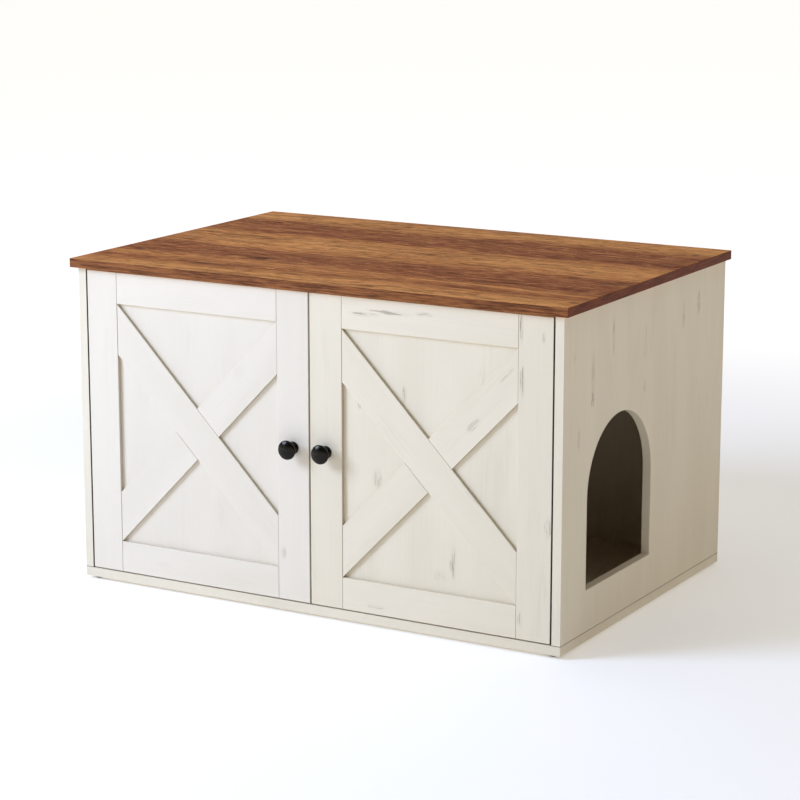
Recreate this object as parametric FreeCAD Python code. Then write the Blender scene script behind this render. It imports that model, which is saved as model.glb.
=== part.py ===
import FreeCAD, Part
import math
import os
from FreeCAD import Vector

# Cat litter box cabinet: a flat-pack box of laminated boards with two inset doors, an overlay
# frame and cross brace on each door, and an arched cat entry in the right side panel.
# Millimetres. +X is the viewer's right, +Y is the back, +Z is up. The origin is on the floor,
# in the middle of the whole footprint, knobs included.

# ---- driving dimensions ----
top_width = 900.0
top_depth = 610.0
total_height = 540.0
board = 15.0                    # carcass boards and door boards
top_overhang = 10.0             # at the left, right and front; the top is flush at the back
foot_height = 5.0
edge_radius = 0.6               # worn arris of a laminated board

back_board = 5.0                # thin rear board, held in grooves
back_inset = 10.0               # from the rear edges to the rear board
groove_depth = 6.0
groove_play = 0.15
groove_end_play = 0.5

side_gap = 2.25                 # between a door and a side panel
middle_gap = 2.5                # between the doors
bottom_gap = 2.0
door_height = 500.0
strip = 6.0                     # thickness of the overlay frame strips
brace_strip = 5.5               # the braces lie a little lower than the frame
stile_width = 58.0
rail_height = 51.5
brace_end = 84.0                # a brace's upright cut end
strip_radius = 1.0

entry_width = 232.0             # cat entry, also used for the opening in the divider
entry_height = 257.0
entry_sill = 67.0               # above the base panel
entry_centre = 201.5            # from the front
pass_centre = 398.0             # divider opening, from the front
entry_radius = 1.2              # rounding of the cut-out's rim

knob_diameter = 31.0
knob_projection = 25.0
knob_collar_diameter = 20.0
knob_neck_diameter = 13.0

cup_diameter = 35.0             # concealed hinge
cup_depth = 11.3
cup_edge = 22.0                 # door edge to cup centre
cup_wall = 1.0
hinge_end = 85.0                # door end to hinge centre
plate_setback = 37.0            # door's back face to the mounting plate's screws
plate_screw_spacing = 32.0

cam_edge = 34.0                 # panel end to cam centre
cam_diameter = 14.8
cam_thickness = 12.0
dowel_diameter = 8.0
dowel_length = 30.0
face_bore = 11.0                # depth of dowel and bolt holes in a board's face
bolt_thread_radius = 3.0
bolt_thread = 10.5              # length in the lying board
bolt_stop_radius = 4.5          # the stop that sits in the mouth of the bore
bolt_bore_radius = 4.6          # bore in the standing board's end
play = 0.1                      # around fittings in their holes

foot_diameter = 16.0
foot_from_side = 18.0
foot_from_front = 16.0
foot_from_back = 22.0
nail_radius = 1.1
nail_head_radius = 3.0

# ---- derived places ----
carcass_width = top_width - 2 * top_overhang
carcass_depth = top_depth - top_overhang
half_width = carcass_width / 2
inner_half = half_width - board
front_y = -(carcass_depth + knob_projection) / 2 + knob_projection
back_y = front_y + carcass_depth
base_bottom = foot_height
base_top = base_bottom + board
top_bottom = total_height - board
door_depth = board + strip
door_back = front_y + door_depth
door_bottom = base_top + bottom_gap
door_top = door_bottom + door_height
door_width = (2 * inner_half - 2 * side_gap - middle_gap) / 2
door_outer = inner_half - side_gap
hinge_heights = (door_bottom + hinge_end, door_top - hinge_end)
plate_y = door_back + plate_setback
rear_board_front = back_y - back_inset - back_board
divider_front = door_back + 3.0
divider_back = rear_board_front - groove_end_play

X = Vector(1, 0, 0)
Y = Vector(0, 1, 0)
Z = Vector(0, 0, 1)


# ---- general helpers ----
def block(x0, x1, y0, y1, z0, z1):
    return Part.makeBox(x1 - x0, y1 - y0, z1 - z0, Vector(x0, y0, z0))


def slab(x0, x1, y0, y1, z0, z1, radius=edge_radius):
    """A board with every arris rounded."""
    solid = block(x0, x1, y0, y1, z0, z1)
    return solid.makeFillet(radius, solid.Edges)


def rod(start, direction, radius, length):
    return Part.makeCylinder(radius, length, start, direction)


def turned(profile, start, direction):
    """A turned piece. profile holds (radius, distance along direction) corners."""
    points = [Vector(radius, 0, distance) for radius, distance in profile]
    wire = Part.makePolygon(points + [points[0]])
    solid = Part.Face(wire).revolve(Vector(0, 0, 0), Z, 360)
    return placed(solid, start, direction)


def placed(solid, start, direction):
    """Move a solid made along +Z from the origin to start, facing along direction."""
    solid.Placement = FreeCAD.Placement(start, FreeCAD.Rotation(Z, direction))
    return solid


def mirrored(solid):
    return solid.mirror(Vector(0, 0, 0), X)


def on_side(solid, side):
    """Pieces are made for the right-hand side, +X, and mirrored for the left."""
    return solid if side > 0 else mirrored(solid)


def minus(solid, tools):
    return solid.cut(Part.makeCompound(tools)) if tools else solid


def front_edges(solid, y):
    """The edges that lie wholly in the plane at y."""
    return [edge for edge in solid.Edges if all(abs(v.Y - y) < 1e-4 for v in edge.Vertexes)]


def save(node, solids):
    solids = solids if isinstance(solids, list) else [solids]
    shape = solids[0] if len(solids) == 1 else Part.makeCompound(solids)
    shape.exportStep("parts/" + node + ".step")


def wood_screw(start, direction, head_radius, head_height, shaft_radius, length):
    """A countersunk screw with a cross recess; start is the middle of its head's face."""
    tip = 1.5 * shaft_radius
    screw = turned([(0, 0), (head_radius, 0), (head_radius, 0.3), (shaft_radius, head_height),
                    (shaft_radius, length - tip), (0, length)], Vector(0, 0, 0), Z)
    slot = 0.55 * head_radius
    recess = [block(-slot, slot, -0.4, 0.4, -1, 0.9), block(-0.4, 0.4, -slot, slot, -1, 0.9)]
    return placed(minus(screw, recess), start, direction)


def screw_hole(start, direction, head_radius, head_height, shaft_radius, length):
    """The hole that wood_screw sits in, with a little play."""
    return turned([(0, -1), (head_radius + play, -1), (head_radius + play, 0.3 + play),
                   (shaft_radius + play, head_height + play), (shaft_radius + play, length + play),
                   (0, length + play)], start, direction)


# ---- knock-down fittings: cams, bolts and dowels ----
def cam_places():
    """Each joint's (x of bolt, y, joint height, way into the standing board, side of the cam)."""
    places = []
    for joint_z, inward in ((base_top, 1), (top_bottom, -1)):
        for offset in (60.0, 545.0):
            for side in (-1, 1):
                x = side * (half_width - board / 2)
                places.append((x, front_y + offset, joint_z, inward, -side))
            places.append((0.0, front_y + offset, joint_z, inward, 1))
    return places


def dowel_places():
    places = []
    for joint_z, inward in ((base_top, 1), (top_bottom, -1)):
        for offset in (110.0, 470.0):
            for x in (-(half_width - board / 2), 0.0, half_width - board / 2):
                places.append((x, front_y + offset, joint_z, inward))
    return places


def cam_lock(x, y, joint_z, inward, cam_side):
    """A zinc cam: a slotted disc with a hollow that takes the bolt's head."""
    centre_z = joint_z + inward * cam_edge
    face = Vector(x + cam_side * (board / 2 - 0.2), y, centre_z)
    cam = rod(face, X * -cam_side, cam_diameter / 2, cam_thickness)
    hollow = rod(Vector(x, y, centre_z + inward * 4.5), Z * -inward, 3.9, cam_diameter)
    slot_x = x + cam_side * (board / 2 - 1.0)
    recess = [block(slot_x - 1.0, slot_x + 1.0, y - 4.5, y + 4.5, centre_z - 0.7, centre_z + 0.7),
              block(slot_x - 1.0, slot_x + 1.0, y - 0.7, y + 0.7, centre_z - 4.5, centre_z + 4.5)]
    return minus(cam, [hollow] + recess)


def cam_bolt(x, y, joint_z, inward, cam_side):
    """Threaded end in the lying board, shank through the standing board's end, head in the cam."""
    stop_end = bolt_thread + 0.8
    shank_radius = 2.5
    head_radius = 3.5
    profile = [(0, 0), (bolt_thread_radius, 0), (bolt_thread_radius, bolt_thread),
               (bolt_stop_radius, bolt_thread), (bolt_stop_radius, stop_end),
               (shank_radius, stop_end), (shank_radius, 41.0), (head_radius, 42.5),
               (head_radius, 44.5), (2.6, 46.0), (0, 46.0)]
    return turned(profile, Vector(x, y, joint_z - inward * bolt_thread), Z * inward)


def cam_cap(x, y, joint_z, inward, cam_side):
    """A push-on cover over the cam, flush to the board."""
    face = Vector(x + cam_side * board / 2, y, joint_z + inward * cam_edge)
    return turned([(0, 0), (8.6, 0), (8.6, 0.5), (8.1, 1.0), (0, 1.2)], face, X * cam_side)


def dowel(x, y, joint_z, inward):
    chamfer = 1.0
    radius = dowel_diameter / 2
    start = -(face_bore - 0.5)
    profile = [(0, 0), (radius - chamfer, 0), (radius, chamfer), (radius, dowel_length - chamfer),
               (radius - chamfer, dowel_length), (0, dowel_length)]
    return turned(profile, Vector(x, y, joint_z + inward * start), Z * inward)


def lying_board_bores():
    """Face bores in the base and the top for all bolts and dowels."""
    bores = []
    for x, y, joint_z, inward, cam_side in cam_places():
        start = Vector(x, y, joint_z + inward * 1.0)
        bores.append(rod(start, Z * -inward, bolt_thread_radius + play, 1.0 + face_bore))
        bores.append(rod(start, Z * -inward, bolt_stop_radius + play, 1.0 + play))
    for x, y, joint_z, inward in dowel_places():
        start = Vector(x, y, joint_z + inward * 1.0)
        bores.append(rod(start, Z * -inward, dowel_diameter / 2 + play, 1.0 + face_bore))
    return bores


def standing_board_bores(board_x):
    """End bores and cam bores of the standing board whose middle is at board_x."""
    bores = []
    for x, y, joint_z, inward, cam_side in cam_places():
        if abs(x - board_x) > 1:
            continue
        centre_z = joint_z + inward * cam_edge
        end = Vector(x, y, joint_z - inward)
        bores.append(rod(end, Z * inward, bolt_bore_radius + play, cam_edge + 1))
        face = Vector(x + cam_side * (board / 2 + 1), y, centre_z)
        bores.append(rod(face, X * -cam_side, cam_diameter / 2 + play, 1 + cam_thickness + 0.5))
    depth = dowel_length - face_bore + 1.0
    for x, y, joint_z, inward in dowel_places():
        if abs(x - board_x) < 1:
            start = Vector(x, y, joint_z - inward)
            bores.append(rod(start, Z * inward, dowel_diameter / 2 + play, 1 + depth))
    return bores


# ---- carcass boards ----
def rear_groove(x0, x1, z0, z1):
    y0 = rear_board_front - groove_play
    return block(x0, x1, y0, y0 + back_board + 2 * groove_play, z0, z1)


def top_panel():
    panel = slab(-top_width / 2, top_width / 2, front_y - top_overhang, back_y,
                 top_bottom, total_height, strip_radius)
    reach = inner_half + groove_depth
    groove = rear_groove(-reach, reach, top_bottom - 1, top_bottom + groove_depth)
    return minus(panel, [groove] + lying_board_bores() + catch_screw_holes())


def base_panel():
    panel = slab(-half_width, half_width, front_y, back_y, base_bottom, base_top)
    reach = inner_half + groove_depth
    groove = rear_groove(-reach, reach, base_top - groove_depth, base_top + 1)
    nail_holes = [rod(Vector(x, y, 0), Z, nail_radius + play, 17.5) for x, y in foot_places()]
    return minus(panel, [groove] + lying_board_bores() + nail_holes)


def arch_cutter(x0, x1, centre_y):
    """A doorway with a half-round top, cut along X."""
    radius = entry_width / 2
    sill_z = base_top + entry_sill
    spring_z = sill_z + entry_height - radius
    left, right = centre_y - radius, centre_y + radius
    edges = [Part.makeLine(Vector(x0, left, sill_z), Vector(x0, right, sill_z)),
             Part.makeLine(Vector(x0, right, sill_z), Vector(x0, right, spring_z)),
             Part.Arc(Vector(x0, right, spring_z), Vector(x0, centre_y, spring_z + radius),
                      Vector(x0, left, spring_z)).toShape(),
             Part.makeLine(Vector(x0, left, spring_z), Vector(x0, left, sill_z))]
    return Part.Face(Part.Wire(edges)).extrude(X * (x1 - x0))


def with_arch(panel, x0, x1, centre_y):
    """Cut the doorway and round both its rims."""
    panel = panel.cut(arch_cutter(x0 - 1, x1 + 1, centre_y))
    reach = entry_width / 2 + 0.01
    low = base_top + entry_sill - 0.01
    high = base_top + entry_sill + entry_height + 0.01
    rims = []
    for edge in panel.Edges:
        box = edge.BoundBox
        flat = box.XLength < 1e-4 and min(abs(box.XMin - x0), abs(box.XMin - x1)) < 1e-4
        inside = box.YMin > centre_y - reach and box.YMax < centre_y + reach
        if flat and inside and box.ZMin > low and box.ZMax < high:
            rims.append(edge)
    return panel.makeFillet(entry_radius, rims)


def side_panel(side):
    """A side panel on the right (+1) or the left (-1)."""
    x0, x1 = sorted((side * inner_half, side * half_width))
    panel = slab(x0, x1, front_y, back_y, base_top, top_bottom)
    if side > 0:
        panel = with_arch(panel, x0, x1, front_y + entry_centre)
    groove_x = sorted((side * (inner_half - 1), side * (inner_half + groove_depth)))
    groove = rear_groove(groove_x[0], groove_x[1], base_top - 1, top_bottom + 1)
    holes = [on_side(hole, side) for hole in plate_screw_holes()]
    return minus(panel, [groove] + standing_board_bores(side * (half_width - board / 2)) + holes)


def divider_panel():
    panel = slab(-board / 2, board / 2, divider_front, divider_back, base_top, top_bottom)
    panel = with_arch(panel, -board / 2, board / 2, front_y + pass_centre)
    return minus(panel, standing_board_bores(0.0))


def back_panel():
    reach_x = inner_half + groove_depth - groove_end_play
    reach_z = groove_depth - groove_end_play
    return slab(-reach_x, reach_x, rear_board_front, rear_board_front + back_board,
                base_top - reach_z, top_bottom + reach_z, 0.3)


# ---- feet ----
def foot_places():
    ys = (front_y + foot_from_front, back_y - foot_from_back)
    xs = (-half_width + foot_from_side, half_width - foot_from_side)
    return [(x, y) for y in ys for x in xs]


def foot(x, y):
    """A nail-on plastic glide with a domed underside."""
    radius = foot_diameter / 2
    glide = turned([(0, 0), (radius - 3.0, 0), (radius - 1.2, 0.7), (radius - 0.3, 2.0),
                    (radius, 3.4), (radius, foot_height), (0, foot_height)], Vector(x, y, 0), Z)
    seat = Vector(x, y, 2.0)
    return minus(glide, [rod(seat, Z, nail_radius + play, 5),
                         rod(seat, Z, nail_head_radius + play, 0.9 + play)])


def foot_nail(x, y):
    head_height = 0.8
    nail = [(0, 0), (nail_head_radius, 0), (nail_head_radius, head_height),
            (nail_radius, head_height), (nail_radius, 12.5), (0, 15.0)]
    return turned(nail, Vector(x, y, 2.1), Z)


# ---- magnetic catches under the top, one for each door ----
catch_x = 36.0
catch_width = 46.0
catch_height = 14.0
catch_front = door_back + 2.0
catch_back = catch_front + 15.0
catch_screw_offset = 18.0
magnet_half = 12.0              # half its width, and how deep it reaches into the housing
catch_floor = 3.0               # housing under the magnet
catch_roof = 4.0                # housing over it
pole = 1.6                      # thickness of a pole plate
strike_thickness = 0.8
catch_screw = (3.2, 2.0, 1.6, 22.0)      # head radius, head height, shaft radius, length


def catch_housing(side):
    housing = slab(catch_x - catch_width / 2, catch_x + catch_width / 2, catch_front, catch_back,
                   top_bottom - catch_height, top_bottom, 0.8)
    reach = magnet_half + play
    pocket = block(catch_x - reach, catch_x + reach, catch_front - 1, catch_front + reach,
                   top_bottom - catch_height + catch_floor - play, top_bottom - catch_roof + play)
    holes = [screw_hole(start, Z, *catch_screw) for start in catch_screw_starts()]
    return on_side(minus(housing, [pocket] + holes), side)


def catch_screw_starts():
    y = (catch_front + catch_back) / 2
    return [Vector(catch_x + offset, y, top_bottom - catch_height)
            for offset in (-catch_screw_offset, catch_screw_offset)]


def catch_screw_holes():
    holes = [screw_hole(start, Z, *catch_screw) for start in catch_screw_starts()]
    return holes + [mirrored(hole) for hole in holes]


def catch_magnet(side):
    """The magnet between its two steel pole plates, standing just proud of the housing."""
    x0, x1 = catch_x - magnet_half, catch_x + magnet_half
    z0, z1 = top_bottom - catch_height + catch_floor, top_bottom - catch_roof
    face_y = catch_front + 0.4
    magnet = block(x0, x1, face_y, catch_front + magnet_half, z0, z1)
    poles = [block(x0, x1, catch_front - 0.9, face_y, z, z + pole) for z in (z0, z1 - pole)]
    return on_side(magnet.fuse(poles).removeSplitter(), side)


# ---- concealed hinges, made at the right-hand door and mirrored for the left ----
cup_x = door_outer - cup_edge
plate_screw = (4.2, 2.2, 2.9, 12.0)
cup_screw = (3.4, 1.8, 1.6, 12.5)
flange = 1.2
ear_spacing = 48.0
ear_offset = 5.0                # cup centre to its screws, towards the door's middle
pin_x = cup_x - 9.0             # the pin that the link turns on
pin_y = door_back - 6.5
pin_radius = 1.2
pin_length = 14.0
link_height = 10.0
wing = 2.5                      # thickness of the mounting plate
arm_screw_y = plate_y + 8.0
arm_screw_radius = 2.5
arm_inner = 11.0                # from the side panel's face to the arm's inner face
arm_width = 15.0
arm_wall = 1.5


def hinge_cup(z):
    """Pressed steel cup with a flange and two screw ears on the door's back face."""
    radius = cup_diameter / 2 - play
    ear_x = cup_x - ear_offset
    plate = rod(Vector(cup_x, door_back, z), Y, 19.5, flange)
    ears = slab(ear_x - 8.0, ear_x + 8.0, door_back, door_back + flange,
                z - ear_spacing / 2 - 6.5, z + ear_spacing / 2 + 6.5, 0.3)
    cup = rod(Vector(cup_x, door_back - cup_depth, z), Y, radius, cup_depth)
    floor = Vector(cup_x, door_back - cup_depth + cup_wall, z)
    hollow = rod(floor, Y, radius - cup_wall, cup_depth + 5)
    pin_end = Vector(pin_x, pin_y, z - pin_length / 2 - play)
    pin_hole = rod(pin_end, Z, pin_radius + play, pin_length + 2 * play)
    lug = 1.5
    lugs = [block(pin_x - 3.0, pin_x + 3.0, door_back - cup_depth + 0.5, door_back - 3.5, low, low + lug)
            for low in (z - pin_length / 2, z + pin_length / 2 - lug)]
    holes = [screw_hole(start, Y * -1, *cup_screw) for start in cup_screw_starts(z)]
    shell = plate.fuse([ears, cup]).removeSplitter().cut(hollow)
    return minus(shell.fuse(lugs), [pin_hole] + holes)


def cup_screw_starts(z):
    return [Vector(cup_x - ear_offset, door_back + flange, z + side * ear_spacing / 2)
            for side in (-1, 1)]


def hinge_link(z):
    """The crooked link that lies folded in the cup while the door is shut."""
    low = z - link_height / 2
    points = [(-9.0, -8.6), (6.0, -6.0), (12.5, 0.0), (10.5, 0.6), (5.0, -4.0), (-9.0, -4.4)]
    outline = [Vector(cup_x + x, door_back + y, low) for x, y in points]
    link = Part.Face(Part.makePolygon(outline + [outline[0]])).extrude(Z * link_height)
    eye = rod(Vector(pin_x, pin_y, low), Z, pin_radius + 1.0, link_height)
    pin_hole = rod(Vector(pin_x, pin_y, low - 1), Z, pin_radius + play, link_height + 2)
    return link.fuse(eye).removeSplitter().cut(pin_hole)


def hinge_pin(z):
    return rod(Vector(pin_x, pin_y, z - pin_length / 2), Z, pin_radius, pin_length)


def mounting_plate(z):
    """Cross-shaped plate on the side panel's inner face, with a ridge that carries the arm."""
    half_height = plate_screw_spacing / 2 + 8.0
    plate = slab(inner_half - wing, inner_half, plate_y - 8.0, plate_y + 8.0,
                 z - half_height, z + half_height, 0.5)
    ridge = slab(inner_half - 6.0, inner_half, plate_y - 24.0, plate_y + 20.0, z - 5.5, z + 5.5, 0.5)
    screw_bore = rod(Vector(inner_half - 7.0, arm_screw_y, z), X, arm_screw_radius + play, 6.0)
    holes = [screw_hole(start, X, *plate_screw) for start in plate_screw_starts(z)]
    return minus(plate.fuse(ridge).removeSplitter(), holes + [screw_bore])


def plate_screw_starts(z):
    return [Vector(inner_half - wing, plate_y, z + side * plate_screw_spacing / 2)
            for side in (-1, 1)]


def plate_screw_holes():
    holes = []
    for z in hinge_heights:
        holes += [screw_hole(start, X, *plate_screw) for start in plate_screw_starts(z)]
    return holes


def hinge_arm(z):
    """A pressed channel from the mounting plate forward to just behind the door."""
    nose_y = door_back + flange + 1.2
    tail_y = plate_y + 24.0
    x0 = inner_half - arm_inner
    x1 = inner_half - 1.0
    arm = slab(x0, x1, nose_y, tail_y, z - arm_width / 2, z + arm_width / 2, 0.5)
    inside = block(x0 + arm_wall, x1 + 1, nose_y - 1, tail_y + 1,
                   z - arm_width / 2 + arm_wall, z + arm_width / 2 - arm_wall)
    cheek_cut = [block(x0 + 5.0, x1 + 1, plate_y - 26.0, tail_y + 1, z - 20.0, z + 20.0)]
    screw_slot = [block(x0 - 1, x0 + 2, arm_screw_y - 5.0, arm_screw_y + 5.0, z - 2.7, z + 2.7)]
    return minus(arm, [inside] + cheek_cut + screw_slot)


def hinge_arm_screw(z):
    """Pan-head screw that clamps the arm to its plate."""
    head = 2.2
    profile = [(0, 0), (3.4, 0), (4.3, 0.8), (4.3, head), (arm_screw_radius, head),
               (arm_screw_radius, 9.0), (0, 9.0)]
    start = Vector(inner_half - arm_inner - head - 0.05, arm_screw_y, z)
    screw = turned(profile, start, X)
    slot = block(start.x - 1, start.x + 1.0, start.y - 3.0, start.y + 3.0, z - 0.5, z + 0.5)
    cross = block(start.x - 1, start.x + 1.0, start.y - 0.5, start.y + 0.5, z - 3.0, z + 3.0)
    return minus(screw, [slot, cross])


# ---- doors ----
knob_screw_head = (4.0, 2.4)              # radius, height
knob_screw_radius = 2.0
strike_screw = (2.8, 1.6, 1.4, 11.0)


def brace_blank(x0, x1, z0, z1, falling):
    """One diagonal strip that fills a frame from corner to corner, its ends cut upright."""
    if falling:
        corners = [(x0, z1), (x0, z1 - brace_end), (x1, z0), (x1, z0 + brace_end)]
    else:
        corners = [(x0, z0 + brace_end), (x0, z0), (x1, z1 - brace_end), (x1, z1)]
    y = front_y + strip - brace_strip
    points = [Vector(x, y, z) for x, z in corners]
    return Part.Face(Part.makePolygon(points + [points[0]])).extrude(Y * brace_strip)


def eased(solid):
    """Round the front arrises of a brace."""
    return solid.makeFillet(strip_radius, front_edges(solid, front_y + strip - brace_strip))


def strike_screw_start(side):
    return Vector(side * catch_x, door_back + strike_thickness, top_bottom - catch_height / 2 - 1.0)


def knob_centre(side):
    x = side * (middle_gap / 2 + stile_width / 2)
    return Vector(x, front_y, (door_bottom + door_top) / 2)


def knob(side):
    """A turned knob: collar, neck and a flat head with a round rim, all arcs in one profile."""
    head_r = knob_diameter / 2
    collar_r = knob_collar_diameter / 2
    neck_r = knob_neck_diameter / 2
    rim_z = knob_projection - 6.0           # where the head is widest
    dome_r = head_r - 1.6                   # where the shallow dome starts, at dome_z
    dome_z = rim_z + 2.8
    under_r = head_r - 1.2                  # where the rim ends at the back, at under_z
    under_z = rim_z - 2.4
    rise = knob_projection - dome_z
    sphere_r = (dome_r ** 2 + rise ** 2) / (2 * rise)
    half_angle = math.asin(dome_r / sphere_r) / 2
    dome_middle = (sphere_r * math.sin(half_angle),
                   knob_projection - sphere_r * (1 - math.cos(half_angle)))

    def point(radius, distance):
        return Vector(radius, 0, distance)

    def arc(start, middle, end):
        return Part.Arc(point(*start), point(*middle), point(*end)).toShape()

    edges = [Part.makeLine(point(0, 0), point(collar_r, 0)),
             arc((collar_r, 0), (collar_r + 0.2, 1.6), (collar_r - 1.2, 3.0)),
             arc((collar_r - 1.2, 3.0), (neck_r, 7.0), (neck_r + 0.6, 12.6)),
             arc((neck_r + 0.6, 12.6), (head_r - 4.5, 14.4), (under_r, under_z)),
             arc((under_r, under_z), (head_r, rim_z), (dome_r, dome_z)),
             arc((dome_r, dome_z), dome_middle, (0, knob_projection)),
             Part.makeLine(point(0, knob_projection), point(0, 0))]
    solid = Part.Face(Part.Wire(edges)).revolve(Vector(0, 0, 0), Z, 360)
    solid = solid.cut(rod(Vector(0, 0, -1), Z, knob_screw_radius + play, 10.5))
    return placed(solid, knob_centre(side), Y * -1)


def knob_screw(side):
    """Machine screw from the door's back through board and stile into the knob."""
    head_r, head_h = knob_screw_head
    tip = head_h + door_depth + 9.0
    profile = [(0, 0), (head_r - 0.8, 0), (head_r, 0.9), (head_r, head_h),
               (knob_screw_radius, head_h), (knob_screw_radius, tip - 0.5), (0, tip)]
    centre = knob_centre(side)
    start = Vector(centre.x, door_back + head_h, centre.z)
    screw = turned(profile, Vector(0, 0, 0), Z)
    recess = [block(-2.2, 2.2, -0.4, 0.4, -1, 1.2), block(-0.4, 0.4, -2.2, 2.2, -1, 1.2)]
    return placed(minus(screw, recess), start, Y * -1)


def make_door(name, side):
    """The left (-1) or right (+1) door, as separate board, strips, knob and hinge cups."""
    x0, x1 = sorted((side * door_outer, side * (door_outer - door_width)))
    frame_x0, frame_x1 = x0 + stile_width, x1 - stile_width
    frame_z0, frame_z1 = door_bottom + rail_height, door_top - rail_height
    stile_back = front_y + strip
    knob_hole = rod(knob_centre(side) - Y, Y, knob_screw_radius + 2 * play, door_depth + 2)

    door_board = slab(x0, x1, stile_back, door_back, door_bottom, door_top)
    bores = [rod(Vector(cup_x, door_back + 1, z), Y * -1, cup_diameter / 2, 1 + cup_depth + 0.2)
             for z in hinge_heights]
    for z in hinge_heights:
        bores += [screw_hole(start, Y * -1, *cup_screw) for start in cup_screw_starts(z)]
    bores = [on_side(bore, side) for bore in bores]
    bores.append(screw_hole(strike_screw_start(side), Y * -1, *strike_screw))
    save(name + "_board", minus(door_board, bores + [knob_hole]))

    def stile(a):
        return slab(a, a + stile_width, front_y, stile_back, door_bottom, door_top, strip_radius)

    def rail(z):
        return slab(frame_x0, frame_x1, front_y, stile_back, z, z + rail_height, strip_radius)

    left_stile, right_stile = stile(x0), stile(frame_x1)
    outer, inner = (left_stile, right_stile) if side < 0 else (right_stile, left_stile)
    save(name + "_outer_stile", outer)
    save(name + "_inner_stile", inner.cut(knob_hole))
    save(name + "_top_rail", rail(frame_z1))
    save(name + "_bottom_rail", rail(door_bottom))

    long_brace = brace_blank(frame_x0, frame_x1, frame_z0, frame_z1, True)
    short_braces = brace_blank(frame_x0, frame_x1, frame_z0, frame_z1, False).cut(long_brace).Solids
    short_braces.sort(key=lambda solid: solid.CenterOfMass.z)
    save(name + "_long_brace", eased(long_brace))
    save(name + "_lower_short_brace", eased(short_braces[0]))
    save(name + "_upper_short_brace", eased(short_braces[1]))

    save(name + "_knob", knob(side))
    save(name + "_knob_screw", knob_screw(side))
    start = strike_screw_start(side)
    plate = slab(start.x - 17.0, start.x + 17.0, door_back, door_back + strike_thickness,
                 start.z - 4.8, start.z + 4.8, 0.3)
    save(name + "_strike_plate", plate.cut(screw_hole(start, Y * -1, *strike_screw)))
    save(name + "_strike_screw", wood_screw(start, Y * -1, *strike_screw))

    save(name + "_hinge_cups", [on_side(hinge_cup(z), side) for z in hinge_heights])
    save(name + "_hinge_links", [on_side(hinge_link(z), side) for z in hinge_heights])
    save(name + "_hinge_pins", [on_side(hinge_pin(z), side) for z in hinge_heights])
    save(name + "_cup_screws", [on_side(wood_screw(start, Y * -1, *cup_screw), side)
                                for z in hinge_heights for start in cup_screw_starts(z)])


def make_carcass():
    save("top_panel", top_panel())
    save("base_panel", base_panel())
    save("left_side_panel", side_panel(-1))
    save("right_side_panel", side_panel(1))
    save("divider_panel", divider_panel())
    save("back_panel", back_panel())
    save("cam_locks", [cam_lock(*place) for place in cam_places()])
    save("cam_bolts", [cam_bolt(*place) for place in cam_places()])
    save("cam_caps", [cam_cap(*place) for place in cam_places()])
    save("wood_dowels", [dowel(*place) for place in dowel_places()])
    save("feet", [foot(x, y) for x, y in foot_places()])
    save("foot_nails", [foot_nail(x, y) for x, y in foot_places()])
    save("catch_housings", [catch_housing(side) for side in (-1, 1)])
    save("catch_magnets", [catch_magnet(side) for side in (-1, 1)])
    save("catch_screws", [on_side(wood_screw(start, Z, *catch_screw), side)
                          for side in (-1, 1) for start in catch_screw_starts()])


def make_hinges():
    both = [(side, z) for side in (-1, 1) for z in hinge_heights]
    save("hinge_mounting_plates", [on_side(mounting_plate(z), side) for side, z in both])
    save("hinge_arms", [on_side(hinge_arm(z), side) for side, z in both])
    save("hinge_arm_screws", [on_side(hinge_arm_screw(z), side) for side, z in both])
    save("hinge_plate_screws", [on_side(wood_screw(start, X, *plate_screw), side)
                                for side, z in both for start in plate_screw_starts(z)])


os.makedirs("parts", exist_ok=True)
make_carcass()
make_hinges()
make_door("left_door", -1)
make_door("right_door", 1)
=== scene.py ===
import math

import bpy
from mathutils import Euler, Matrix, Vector


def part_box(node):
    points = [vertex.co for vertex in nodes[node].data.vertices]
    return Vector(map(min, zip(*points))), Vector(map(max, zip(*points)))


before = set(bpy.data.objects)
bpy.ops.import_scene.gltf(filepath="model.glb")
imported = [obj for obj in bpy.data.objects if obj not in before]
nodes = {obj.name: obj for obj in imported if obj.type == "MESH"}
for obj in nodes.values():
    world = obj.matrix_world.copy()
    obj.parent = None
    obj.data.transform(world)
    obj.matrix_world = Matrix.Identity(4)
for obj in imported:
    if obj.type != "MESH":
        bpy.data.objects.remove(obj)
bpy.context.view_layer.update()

# Cat litter box cabinet. Every shape is a node of the CAD frame; this script gives each one its
# finish, and adds the floor, the light and the camera. Metres. +X is the viewer's right, +Y is
# the back and +Z is up.

X, Y, Z = Vector((1, 0, 0)), Vector((0, 1, 0)), Vector((0, 0, 1))


# ---- colours ----
def linear(value):
    value /= 255
    return value / 12.92 if value <= 0.04045 else ((value + 0.055) / 1.055) ** 2.4


def rgb(red, green, blue):
    """A display colour, 0 to 255, as the linear colour that a shader takes."""
    return (linear(red), linear(green), linear(blue), 1.0)


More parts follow.
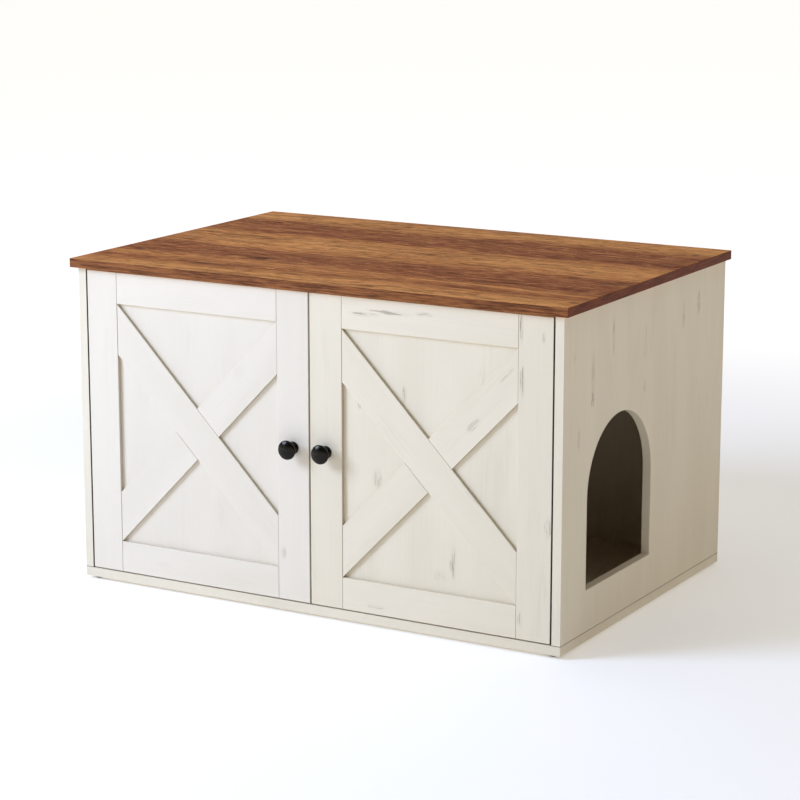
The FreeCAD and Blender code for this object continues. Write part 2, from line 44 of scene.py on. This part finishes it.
# ---- a material and short calls that add shader nodes to it ----
class Material:
    def __init__(self, name, **uniform):
        self.data = bpy.data.materials.new(name)
        self.data.use_nodes = True
        self.tree = self.data.node_tree
        self.surface = self.tree.nodes["Principled BSDF"]
        self.place = self.add("ShaderNodeTexCoord").outputs["Object"]
        for socket, value in uniform.items():
            self.surface.inputs[socket.replace("_", " ")].default_value = value

    def add(self, kind, *values, **settings):
        """A node of that kind; values go to its inputs in order, as links or as numbers."""
        node = self.tree.nodes.new(kind)
        for key, value in settings.items():
            setattr(node, key, value)
        for socket, value in zip(node.inputs, values):
            self.feed(socket, value)
        return node

    def feed(self, socket, value):
        if isinstance(value, bpy.types.NodeSocket):
            self.tree.links.new(value, socket)
        else:
            socket.default_value = value

    def math(self, operation, *values):
        return self.add("ShaderNodeMath", *values, operation=operation).outputs[0]

    def times(self, a, b):
        return self.math("MULTIPLY", a, b)

    def plus(self, a, b):
        return self.math("ADD", a, b)

    def most(self, *values):
        """The largest of several values."""
        total = values[0]
        for value in values[1:]:
            total = self.math("MAXIMUM", total, value)
        return total

    def vector(self, operation, *values):
        node = self.add("ShaderNodeVectorMath", *values, operation=operation)
        return node.outputs["Value" if operation in ("DOT_PRODUCT", "LENGTH") else "Vector"]

    def along(self, point, *axes):
        """point measured along three axes, each the new X, Y or Z."""
        parts = [self.vector("DOT_PRODUCT", point, axis) for axis in axes]
        return self.add("ShaderNodeCombineXYZ", *parts).outputs[0]

    def noise(self, point, per_metre, detail=2.0, rough=0.5):
        """Smooth noise from 0 to 1 with that many features per metre along each axis."""
        scaled = self.vector("MULTIPLY", point, per_metre)
        texture = self.add("ShaderNodeTexNoise")
        self.feed(texture.inputs["Vector"], scaled)
        for socket, value in (("Scale", 1.0), ("Detail", detail), ("Roughness", rough)):
            texture.inputs[socket].default_value = value
        return texture.outputs[0]

    def ease(self, value, low, high, to_low=0.0, to_high=1.0, kind="SMOOTHSTEP"):
        """value from low to high becomes to_low to to_high, with soft ends unless LINEAR."""
        node = self.add("ShaderNodeMapRange", value, low, high, to_low, to_high,
                        interpolation_type=kind)
        return node.outputs[0]

    def mix(self, amount, a, b):
        """Colour a at amount 0 and colour b at amount 1."""
        node = self.add("ShaderNodeMix", data_type="RGBA", blend_type="MIX")
        for index, value in ((0, amount), (6, a), (7, b)):      # factor, first and second colour
            self.feed(node.inputs[index], value)
        return node.outputs[2]

    def bands(self, value, stops):
        """A run of colours; stops are (place from 0 to 1, colour)."""
        node = self.add("ShaderNodeValToRGB", value)
        points = node.color_ramp.elements
        while len(points) < len(stops):
            points.new(0.5)
        for point, (place, colour) in zip(points, stops):
            point.position = place
            point.color = colour
        return node.outputs[0]

    def finish(self, colour, roughness, height, depth):
        """Connect the surface; depth is the relief in metres between height 0 and 1."""
        self.feed(self.surface.inputs["Base Color"], colour)
        self.feed(self.surface.inputs["Roughness"], roughness)
        relief = self.add("ShaderNodeBump")
        relief.inputs["Distance"].default_value = depth
        self.feed(relief.inputs["Height"], height)
        self.feed(self.surface.inputs["Normal"], relief.outputs[0])
        return self.data


# ---- white boards: cream laminate printed with worn, painted wood grain ----
# Three numbers in brackets after a noise are its features per metre: along the grain, across it,
# and into the board.
cream = rgb(229, 218, 199)
cream_shade = rgb(225, 214, 194)
aged_cream = rgb(229, 217, 193)
aged_shade = rgb(224, 212, 187)
worn_grey = rgb(184, 171, 148)
# the grey of the cracks, also used for the painted shade on the narrow door edges
crack_and_shade_grey = rgb(122, 108, 86)
# painted shade: the dark line along the seam where a board stands on another, and the dark front
# rim of the faces that line the door gaps
seam_and_gap_shade = rgb(72, 62, 48)
seed_step = (1.37, 0.71, 0.43)     # how far the printed pattern moves from one seed to the next
grain_bend = 0.010                 # how far the grain wanders sideways, in metres
mark_thins = (0.8, 0.55)           # a mark has thinned out at its half length and width over these
scattered_wear = 0.35              # strength of the wear outside the marks
seam_shade_width = (0.0007, 0.0015)      # the painted seam shade line's full and outer half width
gap_shade_depth = (0.0030, 0.0055)       # how deep the painted shade on a gap's front rim is full and has ended
# strength of the painted shade on narrow edges that face away from the light
painted_edge_shade = 0.42
door_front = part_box("left_door_outer_stile")[0].y


def laminate(name, grain, across, seed, wear=1.0, marks=(), joint_height=None, gap_side=None,
             dim_side=None):
    """grain and across are the board's directions. wear goes up to 1, for the yellower boards.
    A mark is a spot of heavier wear: (place, half its length along the grain, half its width,
    strength). joint_height is where the board stands on another; a line of painted shade runs
    along the seam between them. gap_side is the way the face looks that lines the gap beside a
    door; its front rim has painted shade. dim_side is the way the narrow edges look that get
    painted shade, darker as if turned away from the light."""
    m = Material(name, Specular_IOR_Level=0.3)
    axes = (grain, across, grain.cross(across))
    board = m.along(m.place, *axes)
    shifted = m.vector("ADD", board, tuple(seed * step for step in seed_step))
    wander = m.noise(shifted, (5.0, 22.0, 22.0), detail=2.0)
    sideways = m.times(m.plus(wander, -0.5), grain_bend)
    bend = m.add("ShaderNodeCombineXYZ", 0.0, sideways, 0.0).outputs[0]
    bent = m.vector("ADD", shifted, bend)

    cloud = m.noise(bent, (2.5, 14.0, 14.0))
    lines = m.noise(bent, (6.0, 260.0, 260.0), detail=3.0, rough=0.6)
    streaks = m.noise(bent, (11.0, 170.0, 170.0), detail=3.0, rough=0.6)
    dashes = m.noise(bent, (28.0, 420.0, 420.0), detail=3.0, rough=0.6)
    patches = m.ease(m.noise(shifted, (6.0, 26.0, 26.0), detail=1.0), 0.54, 0.72)

    spots = 0.0
    for place, half_length, half_width, strength in marks:
        middle = Vector([Vector(place).dot(axis) for axis in axes])
        from_mark = m.vector("SUBTRACT", board, middle)
        shrink = (mark_thins[0] / half_length, mark_thins[1] / half_width, 0.0)
        reach = m.vector("LENGTH", m.vector("MULTIPLY", from_mark, shrink))
        spots = m.most(m.ease(reach, 1.0, 0.3, 0.0, strength), spots)
    where = m.most(m.times(patches, scattered_wear * wear), spots)

    worn = m.times(m.ease(streaks, 0.38, 0.60), where)
    cracks = m.times(m.ease(dashes, 0.52, 0.60), m.ease(where, 0.30, 0.8))
    pale, shade = (aged_cream, aged_shade) if wear > 0.9 else (cream, cream_shade)
    colour = m.mix(m.ease(cloud, 0.3, 0.7), pale, shade)
    colour = m.mix(m.ease(lines, 0.48, 0.76, 0.0, 0.01 + 0.05 * wear), colour, worn_grey)
    colour = m.mix(m.ease(dashes, 0.54, 0.74, 0.0, 0.01 + 0.04 * wear), colour, worn_grey)
    colour = m.mix(m.times(worn, 0.30), colour, worn_grey)
    colour = m.mix(m.times(cracks, 0.58), colour, crack_and_shade_grey)
    # painted shade: a dark line along the seam at joint_height, in place of the shadow between the
    # boards
    if joint_height is not None:
        height = m.plus(m.vector("DOT_PRODUCT", m.place, Z), -joint_height)
        line = m.ease(m.math("ABSOLUTE", height), *seam_shade_width, 0.85, 0.0)
        colour = m.mix(line, colour, seam_and_gap_shade)
    normal = m.add("ShaderNodeTexCoord").outputs["Normal"]
    # painted shade: narrow edges that face dim_side are darkened, as if turned away from the light
    # on the left
    if dim_side is not None:
        dim = m.ease(m.vector("DOT_PRODUCT", normal, dim_side), 0.2, 0.5, 0.0, painted_edge_shade)
        colour = m.mix(dim, colour, crack_and_shade_grey)
    # painted shade: the front rim of a face that lines the gap beside a door is darkened, as if
    # the gap were in shadow
    if gap_side is not None:
        lining = m.ease(m.vector("DOT_PRODUCT", normal, gap_side), 0.5, 0.8)
        behind_front = m.plus(m.vector("DOT_PRODUCT", m.place, Y), -door_front)
        rim = m.times(lining, m.ease(behind_front, *gap_shade_depth, 1.0, 0.0))
        colour = m.mix(m.times(rim, 0.9), colour, seam_and_gap_shade)

    relief = m.plus(m.times(lines, -0.35), m.times(m.plus(worn, cracks), -0.5))
    roughness = m.ease(lines, 0.2, 0.8, 0.46, 0.60)
    return m.finish(colour, roughness, m.plus(relief, 1.0), 0.0002)


# ---- top: walnut laminate in broad light and dark bands ----
tan = rgb(226, 157, 91)
tan_orange = rgb(218, 145, 82)
red_brown = rgb(153, 83, 48)
brown = rgb(163, 94, 56)
pale_fleck = rgb(240, 173, 102)
streak_brown = rgb(90, 48, 28)
knot_brown = rgb(52, 32, 22)
front_edge = rgb(150, 94, 54), rgb(84, 47, 27)      # light and dark of the cut front and back edge
end_edge = rgb(122, 60, 32), rgb(82, 38, 20)        # and of the two ends
band_bend, band_ripple = 0.070, 0.024               # how far the bands wander, in metres
top_bands = (          # (y in metres, colour), from the back edge to the front edge
    (0.3125, tan), (0.235, tan), (0.208, red_brown), (0.150, brown), (0.100, red_brown),
    (0.072, tan_orange), (0.010, tan), (-0.040, tan_orange), (-0.062, brown),
    (-0.120, red_brown), (-0.165, brown), (-0.190, tan_orange), (-0.226, red_brown),
    (-0.252, tan_orange), (-0.2975, tan),
)
top_knots = (          # (x, y, half length, half width)
    (-0.150, 0.166, 0.016, 0.009), (0.420, 0.235, 0.012, 0.010), (0.245, 0.105, 0.060, 0.008),
    (-0.180, -0.150, 0.035, 0.012), (0.420, -0.085, 0.060, 0.016), (-0.410, -0.160, 0.014, 0.012),
    (-0.230, -0.232, 0.075, 0.009), (0.010, -0.228, 0.030, 0.008), (0.438, -0.266, 0.012, 0.009),
)


def walnut(name):
    m = Material(name, Specular_IOR_Level=0.08)
    low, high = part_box("top_panel")
    wander = m.noise(m.place, (2.2, 9.0, 9.0), detail=2.0)
    ripple = m.noise(m.place, (7.0, 60.0, 60.0), detail=2.0)
    shift = m.plus(m.times(m.plus(wander, -0.5), band_bend),
                   m.times(m.plus(ripple, -0.5), band_ripple))
    bent = m.vector("ADD", m.place, m.add("ShaderNodeCombineXYZ", 0.0, shift, 0.0).outputs[0])
    across = m.add("ShaderNodeSeparateXYZ", bent).outputs["Y"]
    depth = high.y - low.y
    stops = [((high.y - y) / depth, colour) for y, colour in top_bands]
    base = m.bands(m.ease(across, high.y, low.y, kind="LINEAR"), stops)

    cloud = m.noise(bent, (3.0, 22.0, 22.0), detail=3.0)
    mottle = m.noise(bent, (30.0, 110.0, 110.0), detail=3.0, rough=0.6)
    streaks = m.noise(bent, (9.0, 130.0, 130.0), detail=4.0, rough=0.65)
    fibres = m.noise(bent, (34.0, 230.0, 230.0), detail=4.0, rough=0.7)
    pores = m.noise(bent, (60.0, 1300.0, 1300.0), detail=1.0)
    long_lines = m.noise(bent, (2.5, 190.0, 190.0), detail=3.0, rough=0.6)
    colour = m.mix(m.ease(cloud, 0.42, 0.72, 0.0, 0.40), base, red_brown)
    colour = m.mix(m.ease(mottle, 0.50, 0.68, 0.0, 0.35), colour, streak_brown)
    colour = m.mix(m.ease(mottle, 0.48, 0.30, 0.0, 0.35), colour, pale_fleck)
    colour = m.mix(m.ease(streaks, 0.52, 0.68, 0.0, 0.60), colour, streak_brown)
    colour = m.mix(m.ease(streaks, 0.46, 0.30, 0.0, 0.40), colour, pale_fleck)
    colour = m.mix(m.ease(long_lines, 0.53, 0.68, 0.0, 0.50), colour, streak_brown)
    colour = m.mix(m.ease(long_lines, 0.47, 0.32, 0.0, 0.35), colour, pale_fleck)
    colour = m.mix(m.ease(fibres, 0.50, 0.66, 0.0, 0.55), colour, streak_brown)
    colour = m.mix(m.ease(fibres, 0.48, 0.32, 0.0, 0.45), colour, pale_fleck)
    colour = m.mix(m.ease(pores, 0.62, 0.72, 0.0, 0.40), colour, knot_brown)

    knots = 0.0
    for x, y, half_length, half_width in top_knots:
        from_knot = m.vector("SUBTRACT", bent, (x, y, 0.0))
        shrink = (1 / half_length, 1 / half_width, 0.0)
        reach = m.vector("LENGTH", m.vector("MULTIPLY", from_knot, shrink))
        knots = m.most(m.ease(reach, 1.0, 0.1), knots)
    knots = m.times(knots, m.ease(streaks, 0.36, 0.56, 0.45, 1.0))
    colour = m.mix(m.times(knots, 0.9), colour, knot_brown)

    flecks = m.noise(m.place, (22.0, 22.0, 520.0), detail=4.0, rough=0.65)
    front_colour = m.mix(m.ease(flecks, 0.36, 0.66), *front_edge)
    end_colour = m.mix(m.ease(flecks, 0.36, 0.66), *end_edge)
    normal = m.add("ShaderNodeTexCoord").outputs["Normal"]
    upward, endward = (m.math("ABSOLUTE", m.vector("DOT_PRODUCT", normal, axis))
                       for axis in (Z, X))
    edge_colour = m.mix(m.ease(endward, 0.5, 0.8), front_colour, end_colour)
    colour = m.mix(m.ease(upward, 0.5, 0.8), edge_colour, colour)

    relief = m.plus(m.times(fibres, -0.5), m.times(m.plus(pores, knots), -0.5))
    roughness = m.ease(fibres, 0.2, 0.8, 0.42, 0.58)
    return m.finish(colour, roughness, m.plus(relief, 1.5), 0.0003)


# ---- small parts ----
def moulded(name, colour, roughness, grain=900.0, depth=0.00006, **uniform):
    """Moulded plastic or paint: one colour, mottled a little, with a fine skin."""
    m = Material(name, **uniform)
    skin = m.noise(m.place, (grain,) * 3, detail=2.0)
    mottle = m.noise(m.place, (70.0,) * 3, detail=3.0)
    darker = tuple(0.82 * part for part in colour[:3]) + (1.0,)
    return m.finish(m.mix(m.ease(mottle, 0.3, 0.7), colour, darker),
                    m.ease(mottle, 0.2, 0.8, roughness - 0.05, roughness + 0.07), skin, depth)


def plated(name, colour, roughness, brushed=(300.0, 300.0, 40.0)):
    """Plated or cast metal: fine brushing, and duller spots."""
    m = Material(name, Metallic=1.0)
    brush = m.noise(m.place, brushed, detail=3.0)
    dull = m.noise(m.place, (120.0,) * 3, detail=2.0)
    darker = tuple(0.7 * part for part in colour[:3]) + (1.0,)
    return m.finish(m.mix(m.ease(dull, 0.35, 0.75), colour, darker),
                    m.ease(brush, 0.2, 0.8, roughness - 0.08, roughness + 0.12), brush, 0.00004)


def dress(material, *names):
    for name in names:
        mesh = nodes[name].data
        mesh.materials.clear()
        mesh.materials.append(material)


# ---- the finish of each node ----
dress(walnut("walnut_top"), "top_panel")
# the side panels get painted shade along their seam with the base and on the front rim of their
# gap faces
side_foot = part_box("right_side_panel")[0].z
dress(laminate("base_laminate", X, Y, 3), "base_panel")
dress(laminate("left_side_laminate", Z, Y, 5, joint_height=side_foot, gap_side=X),
      "left_side_panel")
dress(laminate("right_side_laminate", Z, Y, 8, joint_height=side_foot, gap_side=-X, marks=(
    ((0, 0.205, 0.468), 0.024, 0.005, 1.0), ((0, 0.205, 0.338), 0.012, 0.004, 0.6),
    ((0, 0.145, 0.455), 0.030, 0.004, 0.7), ((0, -0.001, 0.440), 0.040, 0.004, 0.8),
    ((0, -0.001, 0.368), 0.014, 0.005, 0.7), ((0, -0.118, 0.468), 0.044, 0.004, 0.7),
    ((0, -0.188, 0.415), 0.045, 0.005, 0.9), ((0, -0.188, 0.378), 0.010, 0.005, 1.0),
    ((0, -0.234, 0.330), 0.026, 0.004, 0.7), ((0, 0.250, 0.300), 0.016, 0.003, 0.5),
    ((0, -0.252, 0.456), 0.016, 0.003, 0.5))), "right_side_panel")
dress(laminate("divider_laminate", Z, Y, 11), "divider_panel")
dress(laminate("rear_laminate", Z, X, 13), "back_panel")

door_marks = {
    "left_door_board": (
        ((-0.173, 0, 0.150), 0.030, 0.006, 0.45), ((-0.232, 0, 0.420), 0.030, 0.008, 0.3),
        ((-0.150, 0, 0.300), 0.020, 0.006, 0.4)),
    "left_door_upper_short_brace": (((-0.130, 0, 0.382), 0.018, 0.007, 0.35),),
    "left_door_lower_short_brace": (((-0.322, 0, 0.130), 0.014, 0.004, 0.35),),
    "left_door_inner_stile": (((-0.050, 0, 0.098), 0.014, 0.006, 0.5),),
    "left_door_bottom_rail": (((-0.280, 0, 0.046), 0.020, 0.004, 0.4),),
    "right_door_top_rail": (
        ((0.140, 0, 0.503), 0.055, 0.003, 0.7), ((0.100, 0, 0.497), 0.030, 0.003, 0.8),
        ((0.205, 0, 0.506), 0.020, 0.003, 0.7)),
    "right_door_outer_stile": (
        ((0.370, 0, 0.503), 0.024, 0.003, 1.0), ((0.373, 0, 0.420), 0.028, 0.005, 1.0),
        ((0.407, 0, 0.490), 0.010, 0.003, 0.7), ((0.417, 0, 0.202), 0.020, 0.005, 1.0),
        ((0.371, 0, 0.052), 0.016, 0.003, 0.8)),
    "right_door_board": (
        ((0.253, 0, 0.125), 0.030, 0.005, 1.0), ((0.340, 0, 0.112), 0.014, 0.004, 0.8),
        ((0.167, 0, 0.378), 0.016, 0.004, 0.8), ((0.087, 0, 0.356), 0.012, 0.005, 0.9),
        ((0.120, 0, 0.240), 0.020, 0.008, 0.7), ((0.228, 0, 0.098), 0.012, 0.012, 0.5),
        ((0.300, 0, 0.420), 0.030, 0.005, 0.5)),
    "right_door_long_brace": (
        ((0.243, 0, 0.300), 0.018, 0.006, 0.9), ((0.110, 0, 0.425), 0.030, 0.004, 0.6),
        ((0.285, 0, 0.238), 0.030, 0.004, 0.7)),
    "right_door_upper_short_brace": (
        ((0.290, 0, 0.345), 0.020, 0.005, 0.7), ((0.345, 0, 0.428), 0.024, 0.004, 0.6)),
    "right_door_bottom_rail": (((0.120, 0, 0.034), 0.020, 0.003, 0.8),),
}

brace_upright = 0.084              # width of the long brace, measured upright
low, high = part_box("left_door_long_brace")
falling = Vector((high.x - low.x, 0, -(high.z - low.z) + brace_upright)).normalized()
rising = Vector((falling.x, 0, -falling.z))
for number, door in enumerate(("left_door", "right_door")):
    seed = 17 + 20 * number
    wear = 0.55 + 0.45 * number
    pieces = (
        ("board", Z, X), ("outer_stile", Z, X), ("inner_stile", Z, X), ("top_rail", X, Z),
        ("bottom_rail", X, Z), ("long_brace", falling, rising),
        ("lower_short_brace", rising, falling), ("upper_short_brace", rising, falling),
    )
    outwards = (-X, X)[number]
    for step, (piece, grain, across) in enumerate(pieces):
        name = f"{door}_{piece}"
        # each door piece gets painted shade on its edges that face +X; the outer stile also gets
        # it on its gap rim
        dress(laminate(name + "_laminate", grain, across, seed + 2 * step, wear,
                       door_marks.get(name, ()),
                       gap_side=outwards if piece == "outer_stile" else None, dim_side=X), name)

black_gloss = moulded("black_gloss", rgb(11, 10, 9), 0.18, grain=420.0, depth=0.00003,
                      Specular_IOR_Level=0.22, Specular_Tint=(1.0, 0.88, 0.70, 1.0))
black_plastic = moulded("black_plastic", rgb(28, 28, 29), 0.45)
white_plastic = moulded("white_plastic", rgb(226, 224, 218), 0.42)
magnet_black = moulded("magnet_black", rgb(58, 57, 56), 0.55)
nickel = plated("nickel_steel", rgb(196, 194, 188), 0.28)
zinc = plated("cast_zinc", rgb(168, 169, 170), 0.42, brushed=(160.0,) * 3)
screw_steel = plated("zinc_screw", rgb(184, 186, 188), 0.32)
beech = moulded("beech", rgb(205, 172, 128), 0.6)

dress(black_plastic, "feet")
dress(white_plastic, "cam_caps", "catch_housings")
dress(magnet_black, "catch_magnets")
dress(zinc, "cam_locks", "cam_bolts")
dress(beech, "wood_dowels")
dress(nickel, "hinge_mounting_plates", "hinge_arms")
dress(screw_steel, "hinge_arm_screws", "hinge_plate_screws", "catch_screws", "foot_nails")
for door in ("left_door", "right_door"):
    dress(black_gloss, door + "_knob")
    dress(nickel, *(f"{door}_{part}" for part in ("hinge_cups", "hinge_links", "hinge_pins",
                                                  "strike_plate")))
    dress(screw_steel, *(f"{door}_{part}" for part in ("knob_screw", "strike_screw",
                                                       "cup_screws")))


# ---- floor, light and camera ----
glow_reach = (0.9, 2.8)            # the floor's glow grows from here to here, in metres
glow = (0.24, 0.58)                # and has this strength at the two
overhead_band = (0.5, 1.0)         # sine of the height where the overhead patch starts and is full
horizon_band = (0.12, 0.20)        # sine of the height where the horizon's rim fades and ends


def make_floor(half):
    """A square floor that glows a little, so that it renders nearly white."""
    mesh = bpy.data.meshes.new("floor")
    mesh.from_pydata([(-half, -half, 0), (half, -half, 0), (half, half, 0), (-half, half, 0)],
                     [], [(0, 1, 2, 3)])
    floor = bpy.data.objects.new("floor", mesh)
    bpy.context.collection.objects.link(floor)
    m = Material("floor_paint", Emission_Color=(1.0, 0.985, 0.96, 1.0))
    away = m.vector("LENGTH", m.place)
    m.feed(m.surface.inputs["Emission Strength"], m.ease(away, *glow_reach, *glow))
    fine = m.noise(m.place, (40.0,) * 3)
    colour = m.mix(fine, rgb(246, 246, 246), rgb(250, 250, 250))
    mesh.materials.append(m.finish(colour, 0.9, fine, 0.0001))


def make_world(colour, overhead, horizon, base):
    """A soft sky: base all round, a broad bright patch overhead and a pale rim at the horizon."""
    world = bpy.data.worlds.new("studio")
    world.use_nodes = True
    tree = world.node_tree
    background = tree.nodes["Background"]
    background.inputs["Color"].default_value = colour
    direction = tree.nodes.new("ShaderNodeTexCoord").outputs["Generated"]
    dot = tree.nodes.new("ShaderNodeVectorMath")
    dot.operation = "DOT_PRODUCT"
    tree.links.new(direction, dot.inputs[0])
    dot.inputs[1].default_value = Z
    total = tree.nodes.new("ShaderNodeMath")
    total.operation = "ADD"
    parts = ((*overhead_band, base, overhead), (*horizon_band, horizon, 0.0))
    for index, values in enumerate(parts):
        spread = tree.nodes.new("ShaderNodeMapRange")
        spread.interpolation_type = "SMOOTHSTEP"
        for socket, value in zip(("From Min", "From Max", "To Min", "To Max"), values):
            spread.inputs[socket].default_value = value
        tree.links.new(dot.outputs["Value"], spread.inputs["Value"])
        tree.links.new(spread.outputs[0], total.inputs[index])
    tree.links.new(total.outputs[0], background.inputs["Strength"])
    bpy.context.scene.world = world


def make_light(name, place, target, size, power, colour):
    data = bpy.data.lights.new(name, "AREA")
    data.color = colour
    data.shape = "DISK"
    data.size = size
    data.energy = power
    light = bpy.data.objects.new(name, data)
    light.location = place
    light.rotation_euler = (Vector(target) - Vector(place)).to_track_quat("-Z", "Y").to_euler()
    bpy.context.collection.objects.link(light)


def make_camera(place, pitch_down, turn, lens):
    data = bpy.data.cameras.new("camera")
    data.lens = lens
    data.clip_end = 200.0
    camera = bpy.data.objects.new("camera", data)
    camera.location = place
    camera.rotation_euler = Euler((math.radians(90 - pitch_down), 0, math.radians(turn)))
    bpy.context.collection.objects.link(camera)
    bpy.context.scene.camera = camera


make_floor(60.0)
make_world(colour=(1.0, 0.955, 0.90, 1.0), overhead=1.00, horizon=0.84, base=0.04)
make_light("key", place=(-2.658, -2.679, 2.152), target=(0.0, -0.2, 0.3), size=1.9,
           power=96.0, colour=(1.0, 1.23, 1.74))
make_camera(place=(2.064, -3.5935, 1.214), pitch_down=12.48, turn=29.90, lens=115.4)
bpy.context.scene.view_settings.view_transform = "Standard"
